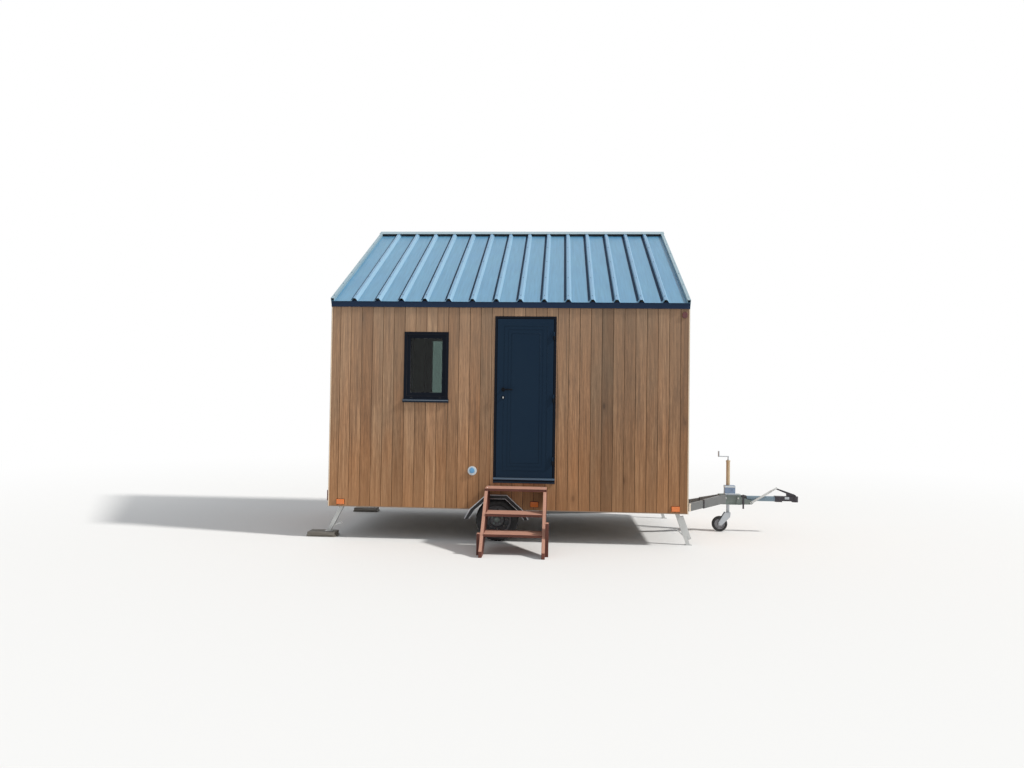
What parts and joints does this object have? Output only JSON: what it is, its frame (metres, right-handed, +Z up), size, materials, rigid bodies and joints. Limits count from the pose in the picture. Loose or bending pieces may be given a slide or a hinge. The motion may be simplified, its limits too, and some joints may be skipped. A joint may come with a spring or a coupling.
{
  "type": "tiny house on a single-axle trailer",
  "caption": "Small timber-clad house on a single-axle trailer, with a ribbed mono-pitch roof, hinged door, windows, wooden steps, corner steadies and a jockey wheel at the hitch",
  "frame": {"origin": "centre of the whole object's footprint at ground level", "axes": "+X towards the hitch, -Y the side with the door, +Z up"},
  "size_m": [6.367, 3.463, 4.383],
  "materials": {
    "galvanised": "hot-dip galvanised steel, dull spangle",
    "rim_steel": "silver painted steel wheel",
    "tyre": "matt black rubber",
    "black_plastic": "satin black moulded plastic",
    "rubber": "black rubber",
    "pad_timber": "weathered grey timber",
    "floor": "smooth floor boards",
    "wall": "pale timber wall panel",
    "cladding": "oiled brown vertical boards",
    "roof_metal": "satin anthracite coated steel",
    "frame_paint": "matt dark blue-grey coated aluminium",
    "handle": "dark satin handle",
    "glass": "clear double glazing",
    "amber": "amber lens",
    "red": "red lens",
    "white_plastic": "white moulded plastic",
    "step_wood": "reddish brown stained timber"
  },
  "bodies": {
    "root": {"chassis_rails": "galvanised", "crossmembers": "galvanised", "axle": "galvanised", "mudguards": "black_plastic", "a_frame": "galvanised", "overrun_housing": "galvanised", "drawbar_gaiter": "rubber", "coupling_head": "galvanised", "jockey_clamp": "galvanised", "jockey_tube": "galvanised", "support_pads": "pad_timber", "floor_deck": "floor", "front_wall_left": "wall", "front_wall_right": "wall", "front_wall_over_door": "wall", "back_wall": "wall", "rear_end_wall": "wall", "hitch_end_wall": "wall", "front_cladding_left": "cladding", "front_cladding_right": "cladding", "front_cladding_over_door": "cladding", "front_cladding_below_door": "cladding", "back_cladding": "cladding", "rear_end_cladding": "cladding", "hitch_end_cladding": "cladding", "roof_deck": "wall", "roof_sheet": "roof_metal", "rake_trims": "roof_metal", "high_flashing": "roof_metal", "eave_fascia": "roof_metal", "door_frame": "frame_paint", "door_hinges": "frame_paint", "window_frames": "frame_paint", "window_glass": "glass", "sills": "frame_paint", "side_markers": "amber", "water_inlet": "white_plastic", "red_lamps": "red", "step_sides": "step_wood", "step_treads": "step_wood", "steady_brackets": "galvanised", "steady_legs": "galvanised"},
    "door": {"door_leaf": "frame_paint"},
    "lever": {"door_lever": "handle"},
    "front_wheel": {"front_tyre": "tyre", "front_rim": "rim_steel"},
    "back_wheel": {"back_tyre": "tyre", "back_rim": "rim_steel"},
    "jockey_inner": {"jockey_stem": "galvanised"},
    "jockey_swivel": {"jockey_fork": "galvanised"},
    "jockey_roller": {"jockey_wheel": "tyre"},
    "jockey_handle": {"jockey_crank": "galvanised"},
    "handbrake": {"handbrake_lever": "galvanised"},
    "steady_rear_front": {"steady_foot_rear_front": "galvanised"},
    "steady_rear_back": {"steady_foot_rear_back": "galvanised"},
    "steady_hitch_front": {"steady_foot_hitch_front": "galvanised"},
    "steady_hitch_back": {"steady_foot_hitch_back": "galvanised"}
  },
  "joints": [
    {"name": "door_swing", "type": "hinge", "parent": "root", "child": "door", "pos_m": [-0.125, -0.8175, 0.795], "axis": [0, 0, 1], "range_deg": [0, 110]},
    {"name": "lever_turn", "type": "hinge", "parent": "door", "child": "lever", "pos_m": [-0.7365, -0.8375, 1.865], "axis": [0, 1, 0], "range_deg": [0, 40], "stiffness_Nm_per_rad": 1.5, "springref_deg": -11.46},
    {"name": "front_wheel_spin", "type": "hinge", "parent": "root", "child": "front_wheel", "pos_m": [-0.7995, -0.629, 0.2625], "axis": [0, 1, 0], "continuous": true},
    {"name": "back_wheel_spin", "type": "hinge", "parent": "root", "child": "back_wheel", "pos_m": [-0.7995, 1.526, 0.2625], "axis": [0, 1, 0], "continuous": true},
    {"name": "jockey_height", "type": "slide", "parent": "root", "child": "jockey_inner", "axis": [0, 0, 1], "range_m": [-0.1, 0.095]},
    {"name": "jockey_turn", "type": "hinge", "parent": "jockey_inner", "child": "jockey_swivel", "pos_m": [2.2515, 0.4485, 0.262], "axis": [0, 0, 1], "continuous": true},
    {"name": "jockey_wheel_spin", "type": "hinge", "parent": "jockey_swivel", "child": "jockey_roller", "pos_m": [2.1415, 0.4485, 0.104], "axis": [0, 1, 0], "continuous": true},
    {"name": "jockey_crank_turn", "type": "hinge", "parent": "root", "child": "jockey_handle", "pos_m": [2.2515, 0.4485, 1.016], "axis": [0, 0, 1], "continuous": true},
    {"name": "handbrake_pull", "type": "hinge", "parent": "root", "child": "handbrake", "pos_m": [2.5505, 0.4005, 0.405], "axis": [0, -1, 0], "range_deg": [-18, 60]},
    {"name": "steady_rear_front_extend", "type": "slide", "parent": "root", "child": "steady_rear_front", "axis": [0.454, 0, 0.891], "range_m": [0, 0.05]},
    {"name": "steady_rear_back_extend", "type": "slide", "parent": "root", "child": "steady_rear_back", "axis": [0.454, 0, 0.891], "range_m": [0, 0.05]},
    {"name": "steady_hitch_front_extend", "type": "slide", "parent": "root", "child": "steady_hitch_front", "axis": [-0.3338, 0, 0.9426], "range_m": [0, 0.05]},
    {"name": "steady_hitch_back_extend", "type": "slide", "parent": "root", "child": "steady_hitch_back", "axis": [-0.3338, 0, 0.9426], "range_m": [0, 0.05]}
  ]
}
